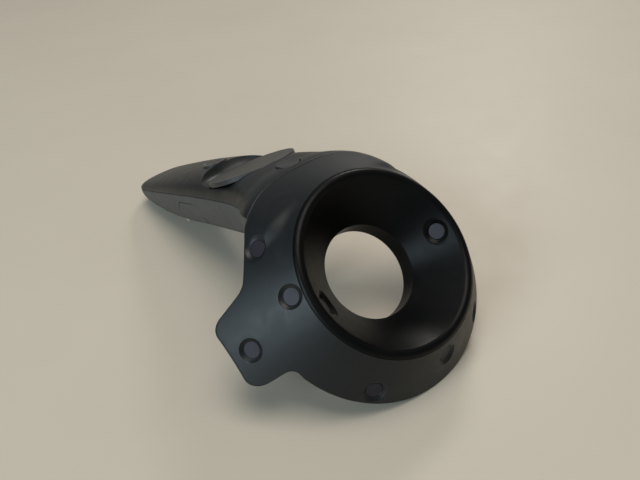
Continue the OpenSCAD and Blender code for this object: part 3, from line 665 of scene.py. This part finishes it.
def seam_stations(angles):
    """Station where the top shell meets the front cover's edge, along each angle."""
    def beyond(y):
        p = skin_points(y, angles, True)
        v = p[:, 1] * math.cos(TILT) + (p[:, 2] - RIM_Z) * math.sin(TILT)
        return v > curve(NECK_EDGE, np.abs(p[:, 0])) + 0.06
    return bisect(beyond, np.full(angles.shape, 40.0), np.full(angles.shape, 60.0), 22)


def shell_angles(start):
    """Angles over half a turn, fine by both seams; and each one's distance from a seam."""
    mean_r = 20
    half = edge_distances(ARCS // 2, mean_r * math.pi / 2)
    d = np.concatenate([half, half[::-1][1:]])
    turn = np.concatenate([half, mean_r * math.pi - half[::-1][1:]])
    return start + turn / mean_r, d


def upper_shell():
    """Top half of the handle, thicker round the trackpad, with its well, recess and holes."""
    angles, edge_d = shell_angles(0.0)
    starts = seam_stations(angles)
    front_d = edge_distances(ROWS, 130.0)
    outer = shell_grid(starts, angles, True, 0.0, edge_d, front_d)
    # The inner face starts a little later than the outer one, most at the sides.
    later = starts + 0.2 + 1.8 * np.abs(np.cos(angles))
    wall = 1.9
    inner = shell_grid(later, angles, True, wall, edge_d + FAR, front_d, UNROUNDED)
    y = inner[..., 1]
    bed_start, bed_end, bed_depth = 58, 110.5, 5.2
    bed = np.clip((y - bed_start) / 5, 0, 1) * np.clip((bed_end - y) / 2, 0, 1)
    bed = bed * np.clip(edge_d / 5 - 0.4, 0, 1)
    inner[..., 2] -= bed_depth * bed * (inner[..., 2] > curve(PARTING_LINE, y) + 3)
    obj = plate_mesh("upper_shell", outer, inner, 32)
    well = [(14.8, -7), (14.8, -3.1), (PAD_R + 0.15, -3.1), (PAD_R + 0.35, -2.9),
            (PAD_R + 0.35, 0.2), (PAD_R + 0.7, 0.6), (PAD_R + 0.7, 8)]
    crescent = [(18.5, -2.2), (20.3, -1.95), (21.6, -1.4), (22.5, -0.6), (23.1, 0.4), (23.6, 1.8),
                (24.1, 3.4), (24.5, 4.8), (25.3, 8)]
    tools = [lathe("recess", well, PAD, 192),
             lathe("recess", crescent, PAD @ Matrix.Translation((0, PAD_SHIFT / 1000, 0)), 192)]
    for at, slope, r in ((MENU_AT, MENU_SLOPE, MENU_R), (SYSTEM_AT, SYSTEM_SLOPE, SYSTEM_R)):
        hole = [(r + BUTTON_GAP, -8), (r + BUTTON_GAP, -0.35), (r + BUTTON_GAP + 0.3, 0.5),
                (r + BUTTON_GAP + 0.3, 8)]
        tools.append(lathe("hole", hole, frame_at(at, slope), 96))
    tools.append(lathe("hole", [(1.1, -5), (1.1, 5)], frame_at(LIGHT_AT, SYSTEM_SLOPE), 48))
    tools.append(usb_hole())
    return cut(obj, tools, 32)


def usb_hole():
    """Cutter for the charging socket's opening in the tail."""
    outline = rounded([(-4.4, -2), (4.4, -2), (4.4, 2), (-4.4, 2)], 1.4, 6)
    m = len(outline)
    points = [(x, -2, z) for x, z in outline] + [(x, 10, z) for x, z in outline]
    faces = [(j, (j + 1) % m, m + (j + 1) % m, m + j) for j in range(m)]
    faces += [tuple(range(m)), tuple(range(m, 2 * m))]
    obj = mesh_object("usb_hole", np.array(points, float) / 1000, faces)
    obj.data.transform(frame_at((189, 7), 16))
    return obj


def grip_edge(grow):
    """The grip button's side outline, grown outwards."""
    rim = rounded(GRIP_OUTLINE, 3.2, 12)
    out = rim - GRIP_CENTRE
    return rim + out / np.linalg.norm(out, axis=1)[:, None] * grow


def under_z(x, y):
    """Height of the handle's underside."""
    half, mid, _, drop, _ = section(np.array(float(y)))
    return float(mid - drop * (1 - (abs(x) / half) ** SQUARENESS) ** (1 / SQUARENESS))


def lower_shell():
    """Bottom half of the handle, cut back to the head, with the trigger's slot and all holes."""
    angles, edge_d = shell_angles(math.pi)
    front_d = edge_distances(ROWS, 147.0)
    starts = np.full(len(angles), 31.0)
    outer = shell_grid(starts, angles, False, 0.0, edge_d, front_d)
    wall = 2.0
    inner = shell_grid(starts, angles, False, wall, edge_d + FAR, front_d, UNROUNDED)
    gap = np.array((0, 0, -SEAM_GAP))
    obj = plate_mesh("lower_shell", outer + gap, inner + gap, 32)
    half = TRIGGER_W / 2 + 0.6
    tools = [head_envelope(),
             lathe("hole", [(SLEEVE_R + 0.1, -60), (SLEEVE_R + 0.1, 20)], RING, 96),
             side_prism("slot", rounded([(46, 4), (69.8, 4), (69.8, 36), (46, 36)], 0.8, 4),
                        -half, half)]
    for side in (-1, 1):
        tools.append(side_prism("hole", grip_edge(BUTTON_GAP), side * 8, side * 28))
    for x, y in SCREW_SPOTS:
        spot = Matrix.Translation(Vector(place((x, y, under_z(x, y) - 3))))
        tools.append(lathe("hole", [(2.5, -1), (2.5, 4.9), (1.4, 4.9), (1.4, 9)], spot, 48))
    tools.append(box_object("hole", (-4.5, 174 + RIM_Y, -3), (4.5, 182 + RIM_Y, 3.5)))
    tools.append(usb_hole())
    return cut(obj, tools, 32)


# ---- Controls ---------------------------------------------------------------------------------

def pad_disc():
    """Dished disc with a rounded rim and a straight side."""
    r, thick, edge, dish = PAD_R, 2.0, 0.5, 0.2
    face = [(x, dish * (x / (r - edge)) ** 2 - dish) for x in np.linspace(r - 0.9, 0.001, 30)]
    rim = [(r - edge + edge * math.cos(b), edge * math.sin(b) - edge)
           for b in np.radians(np.linspace(0, 90, 9))]
    profile = [(0.001, -thick), (r - 0.25, -thick), (r, -thick + 0.25)] + rim + face
    return lathe("pad_disc", profile, PAD, 192, 28)


def push_button(name, r, stem, matrix):
    """Round button with a dished face, a soft rim, a collar under the shell and a stem."""
    top, edge, dish = 0.55, 0.35, 0.2
    face = [(x, dish * (x / (r - edge)) ** 2 + top - dish)
            for x in np.linspace(r - 0.5, 0.001, 16)]
    rim = [(r - edge + edge * math.cos(b), top - edge + edge * math.sin(b))
           for b in np.radians(np.linspace(0, 90, 7))]
    profile = ([(0.001, -stem), (1.6, -stem), (1.6, -4.2), (r + 0.9, -4.2), (r + 0.9, -3.35),
                (r, -3.35)] + rim + face)
    return lathe(name, profile, matrix, 96, 30)


def flank_x(y, z, level):
    """Half width of the handle at height z, level mm outside its surface."""
    half, mid, _, drop, _ = section(y)
    q = 1 + level / np.minimum(half, drop)
    share = np.maximum(0.001, 1 - (np.abs(z - mid) / (drop * q)) ** SQUARENESS)
    return half * q * share ** (1 / SQUARENESS)


def grip_pad(name, side):
    """Button lying in the handle's side, with a rounded rim, a little proud of the shell."""
    rim = grip_edge(0.0)
    reach = np.linalg.norm(rim - GRIP_CENTRE, axis=1)[:, None]
    unit = (rim - GRIP_CENTRE) / reach
    proud, floor_level, edge = 0.25, -1.8, 0.6
    points, m = [], len(rim)
    levels = []
    for share in (0.02, 0.15, 0.3, 0.45, 0.6, 0.75, 0.88):
        levels.append((GRIP_CENTRE + (rim - GRIP_CENTRE) * share, proud))
    for d in (0.9, 0.6, 0.4, 0.25, 0.12, 0.04, 0.0):
        levels.append((rim - unit * d, proud - rounding(np.array(d), edge)))
    levels.append((rim, floor_level))
    for share in (0.7, 0.3, 0.02):
        levels.append((GRIP_CENTRE + (rim - GRIP_CENTRE) * share, floor_level))
    for q, level in levels:
        x = side * flank_x(q[:, 0], q[:, 1], level)
        points.append(np.stack([x, q[:, 0], q[:, 1]], -1))
    n = len(points)
    faces = wrap_faces(n, m, False) + [tuple(range(m)), tuple(range((n - 1) * m, n * m))]
    return mesh_object(name, place(np.concatenate(points)), faces, 32)


def trigger_lever():
    """The lever with its finger scoop, the pin's bore, the spring's room and the magnet's seat."""
    outline = rounded(TRIGGER_OUTLINE, 1.8, 8)
    obj = side_prism("trigger_lever", outline, -TRIGGER_W / 2, TRIGGER_W / 2, 0.8)
    circle = np.linspace(0, 2 * np.pi, 160, endpoint=False)

    def disc(y, z, r):
        return np.stack([y + r * np.cos(circle), z + r * np.sin(circle)], -1)

    tools = [side_prism("scoop", disc(38.4, 22.5, 13.6), -9, 9),
             side_prism("bore", disc(PIVOT[0], PIVOT[1], 1.56), -9, 9),
             side_prism("spring_room", disc(PIVOT[0], PIVOT[1], 7.0), -3.3, 3.3),
             side_prism("magnet_seat", disc(62.8, 33.2, 2.03), -TRIGGER_W / 2 - 0.01,
                        -TRIGGER_W / 2 + 2.1)]
    return cut(obj, tools, 30)


# ---- Finishes ---------------------------------------------------------------------------------

def ramp(tree, fac, stops):
    """Colours over a value, from (position, colour) stops."""
    node = tree.nodes.new("ShaderNodeValToRGB")
    while len(node.color_ramp.elements) < len(stops):
        node.color_ramp.elements.new(0.5)
    for element, (position, colour) in zip(node.color_ramp.elements, stops):
        element.position = position
        element.color = (*colour, 1)
    tree.links.new(fac, node.inputs["Fac"])
    return node.outputs["Color"]


def noise(tree, coords, scale, detail=3.0, rough=0.5, distortion=0.0):
    """Smooth noise; scale is in features per metre."""
    node = tree.nodes.new("ShaderNodeTexNoise")
    node.inputs["Scale"].default_value = scale
    node.inputs["Detail"].default_value = detail
    node.inputs["Roughness"].default_value = rough
    node.inputs["Distortion"].default_value = distortion
    tree.links.new(coords, node.inputs["Vector"])
    return node.outputs["Fac"]


def spread(tree, value, low, high, from_low=0.3, from_high=0.7):
    """A value's range from_low..from_high mapped to low..high."""
    node = tree.nodes.new("ShaderNodeMapRange")
    node.inputs["From Min"].default_value = from_low
    node.inputs["From Max"].default_value = from_high
    node.inputs["To Min"].default_value = low
    node.inputs["To Max"].default_value = high
    tree.links.new(value, node.inputs["Value"])
    return node.outputs["Result"]


def bump(tree, height, strength, distance, below=None):
    """A bumped normal over another one; distance is in metres."""
    node = tree.nodes.new("ShaderNodeBump")
    node.inputs["Strength"].default_value = strength
    node.inputs["Distance"].default_value = distance
    tree.links.new(height, node.inputs["Height"])
    if below is not None:
        tree.links.new(below, node.inputs["Normal"])
    return node.outputs["Normal"]


def dusted(tree, coords, tone, density):
    """The tone with fine pale specks here and there; density is in cells per metre."""
    cells = tree.nodes.new("ShaderNodeTexVoronoi")
    cells.inputs["Scale"].default_value = density
    tree.links.new(coords, cells.inputs["Vector"])
    speck = spread(tree, cells.outputs["Distance"], 1.0, 0.0, 0.015, 0.05)
    where = spread(tree, noise(tree, coords, density * 0.45, 2, 0.5), 0.0, 1.0, 0.56, 0.64)
    amount = tree.nodes.new("ShaderNodeMath")
    amount.operation = "MULTIPLY"
    tree.links.new(speck, amount.inputs[0])
    tree.links.new(where, amount.inputs[1])
    mix = tree.nodes.new("ShaderNodeMix")
    mix.data_type = "RGBA"
    colours = [i for i in mix.inputs if i.type == "RGBA"]
    colours[1].default_value = (0.16, 0.155, 0.145, 1)
    tree.links.new(amount.outputs[0], mix.inputs[0])
    tree.links.new(tone, colours[0])
    return [o for o in mix.outputs if o.type == "RGBA"][0]


def finish(name, dark, light, rough, grain=1500, grain_depth=0.00002, strength=0.35, metallic=0.0,
           patch=55, specular=0.5, coat=0.0, dust=0.0):
    """A surface whose tone and roughness wander in patches, with a fine grain and a faint wave."""
    material = bpy.data.materials.new(name)
    material.use_nodes = True
    tree = material.node_tree
    shader = tree.nodes["Principled BSDF"]
    coords = tree.nodes.new("ShaderNodeTexCoord").outputs["Object"]
    patches = noise(tree, coords, patch, 5, 0.6, 0.3)
    tone = ramp(tree, patches, [(0.28, dark), (0.72, light)])
    if dust:
        tone = dusted(tree, coords, tone, dust)
    tree.links.new(tone, shader.inputs["Base Color"])
    wear = noise(tree, coords, patch * 3.1, 6, 0.7, 0.8)
    tree.links.new(spread(tree, wear, *rough), shader.inputs["Roughness"])
    fine = noise(tree, coords, grain, 2, 0.55)
    wave = noise(tree, coords, patch * 0.8, 2, 0.5)
    under = bump(tree, wave, 0.04, 0.0002)
    tree.links.new(bump(tree, fine, strength, grain_depth, under), shader.inputs["Normal"])
    shader.inputs["Metallic"].default_value = metallic
    shader.inputs["Specular IOR Level"].default_value = specular
    shader.inputs["Coat Weight"].default_value = coat
    shader.inputs["Coat Roughness"].default_value = 0.12
    return material


FINISHES = {
    "shell_black": finish("satin_black", (0.0048, 0.0063, 0.0074), (0.0074, 0.0092, 0.0106),
                          (0.36, 0.47), specular=0.32),
    "funnel_black": finish("semi_gloss_black", (0.0022, 0.0024, 0.0026), (0.0042, 0.0044, 0.0046),
                           (0.30, 0.40), 1900, 0.000014, 0.25, specular=0.10, dust=130),
    "handle_grey": finish("soft_touch_grey", (0.0460, 0.0460, 0.0442), (0.0600, 0.0594, 0.0570),
                          (0.52, 0.64), 1300, 0.00003, 0.4),
    "button_black": finish("button_black", (0.0150, 0.0155, 0.0165), (0.0200, 0.0205, 0.0215),
                           (0.38, 0.5), 1700),
    "pad_grey": finish("pad_grey", (0.0235, 0.0250, 0.0248), (0.0310, 0.0325, 0.0320),
                       (0.42, 0.52), 2300, 0.000016, 0.3, specular=0.35),
    "window_dark": finish("window_dark", (0.0150, 0.0125, 0.0190), (0.0220, 0.0190, 0.0275),
                          (0.38, 0.5), 900, 0.00001, 0.15, specular=0.22),
    "board_green": finish("board_green", (0.012, 0.060, 0.028), (0.020, 0.085, 0.040),
                          (0.3, 0.5), 700),
    "steel": finish("steel", (0.42, 0.42, 0.43), (0.58, 0.58, 0.59), (0.24, 0.42), 1600,
                    0.00001, 0.3, metallic=1.0, patch=140),
    "frame_grey": finish("frame_grey", (0.030, 0.030, 0.034), (0.046, 0.046, 0.050),
                         (0.45, 0.6), 1200),
    "battery_foil": finish("battery_foil", (0.30, 0.31, 0.33), (0.42, 0.43, 0.45), (0.3, 0.5), 500,
                           0.00004, 0.4, metallic=0.7),
    "magnet_nickel": finish("magnet_nickel", (0.50, 0.49, 0.47), (0.62, 0.61, 0.58), (0.18, 0.32),
                            1800, 0.00001, 0.3, metallic=1.0, patch=160),
    "flex_amber": finish("flex_amber", (0.22, 0.10, 0.015), (0.32, 0.15, 0.03), (0.25, 0.4), 800),
    "light_pipe": finish("light_pipe", (0.45, 0.47, 0.49), (0.56, 0.58, 0.60), (0.2, 0.32), 900,
                         0.00001, 0.15, coat=0.3),
    "chip_black": finish("chip_black", (0.016, 0.016, 0.017), (0.026, 0.026, 0.028), (0.4, 0.55),
                         1500),
}

# Nodes that nothing below stands for keep their CAD mesh, with a finish.
slots = {part["node"]: part["material_slot"] for part in frame["record"]["subparts"]}
for node_name, obj in frame["nodes"].items():
    obj.data.materials.clear()
    obj.data.materials.append(FINISHES[slots[node_name]])


def add(obj, body, node_name):
    """obj stands for one CAD node: it takes that node's finish and body, and the node's own mesh
    is hidden.
    """
    obj.data.materials.clear()
    obj.data.materials.append(FINISHES[slots[node_name]])
    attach(obj, body)
    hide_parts(node_name)
    return obj


# ---- The object -------------------------------------------------------------------------------

ROOT = "controller"
add(front_cover(), ROOT, "head_front_cover")
add(back_cover(), ROOT, "head_back_cover")
add(lip_and_funnel(), ROOT, "ring_funnel")
add(throat(), ROOT, "throat_sleeve")
add(joined("front_windows", [window(at_cover(p), -1.0, 1.0) for p in FRONT_SENSORS]), ROOT,
    "front_sensor_windows")
add(joined("funnel_windows", [window(at_funnel(p), -1.0, 1.3) for p in FUNNEL_SENSORS]), ROOT,
    "funnel_sensor_windows")
add(joined("back_windows", [window(back_window_frame(p), 1.4, 1.4) for p in BACK_SENSORS]),
    ROOT, "back_sensor_windows")
add(upper_shell(), ROOT, "handle_top_shell")
add(lower_shell(), ROOT, "handle_bottom_shell")

# Painted shade: the disc's faces turned away from the pad's face (its side and underside) take the
# darker button finish, so they look shaded.
disc = add(pad_disc(), "trackpad", "trackpad_disc")
disc.data.materials.append(FINISHES["button_black"])
for face in disc.data.polygons:
    face.material_index = int(face.normal @ (PAD.to_3x3() @ Vector((0, 0, 1))) < 0.6)
add(push_button("menu_cap", MENU_R, 4.9, frame_at(MENU_AT, MENU_SLOPE)), "menu", "menu_button")
add(push_button("system_cap", SYSTEM_R, 4.9, frame_at(SYSTEM_AT, SYSTEM_SLOPE)), "system",
    "system_button")
add(grip_pad("left_grip_pad", -1), "left_grip", "left_grip_button")
add(grip_pad("right_grip_pad", 1), "right_grip", "right_grip_button")
add(trigger_lever(), "trigger_lever", "trigger")


# ---- Floor, light and camera ------------------------------------------------------------------

floor = bpy.data.objects.new("floor", bpy.data.meshes.new("floor"))
floor.data.from_pydata([(-3, -3, 0), (3, -3, 0), (3, 3, 0), (-3, 3, 0)], [], [(0, 1, 2, 3)])
bpy.context.scene.collection.objects.link(floor)
floor.data.materials.append(finish("cream_table", (0.470, 0.424, 0.352), (0.491, 0.443, 0.369),
                                   (0.42, 0.5), 400, 0.00002, 0.1, patch=9, specular=0.35))


def area_light(name, spot, target, size, power, colour):
    """A rectangular light at spot, turned to the target."""
    light = bpy.data.lights.new(name, "AREA")
    light.shape = "RECTANGLE"
    light.size, light.size_y = size
    light.energy = power
    light.color = colour
    obj = bpy.data.objects.new(name, light)
    obj.location = spot
    obj.rotation_euler = (Vector(target) - Vector(spot)).to_track_quat("-Z", "Y").to_euler()
    bpy.context.scene.collection.objects.link(obj)


area_light("window_left", (-1.65, -0.25, 0.8), (0, 0, 0.05), (0.9, 1.2), 24, (0.72, 0.90, 1.0))
area_light("window_right", (1.5, 0.9, 1.3), (0, 0, 0.03), (0.5, 0.4), 11, (1.0, 0.97, 0.91))
area_light("wall", (0.9, 1.3, 0.5), (0, 0, 0.05), (2.6, 0.9), 1.6, (1.0, 0.99, 0.97))
area_light("ceiling", (0.1, -0.2, 1.9), (0, 0, 0), (1.3, 1.3), 25, (1.0, 0.95, 0.88))

world = bpy.data.worlds.new("room")
bpy.context.scene.world = world
world.use_nodes = True
world.node_tree.nodes["Background"].inputs["Color"].default_value = (0.85, 0.84, 0.80, 1)
world.node_tree.nodes["Background"].inputs["Strength"].default_value = 0.14

camera = bpy.data.objects.new("camera", bpy.data.cameras.new("camera"))
bpy.context.scene.collection.objects.link(camera)
# The camera fitted to the photo: its place and its axes.
camera.data.lens = 33.9
camera.data.sensor_width = 36
right = Vector((0.74813, -0.65640, -0.09722))
up = Vector((0.44406, 0.38639, 0.80841))
forward = Vector((0.49307, 0.64796, -0.58054))
camera.matrix_world = Matrix.Translation(Vector((-0.12359, -0.20641, 0.18080))) @ Matrix(
    (right, up, -forward)).transposed().to_4x4()
camera.data.clip_start = 0.01
bpy.context.scene.camera = camera
bpy.context.scene.view_settings.view_transform = "Standard"
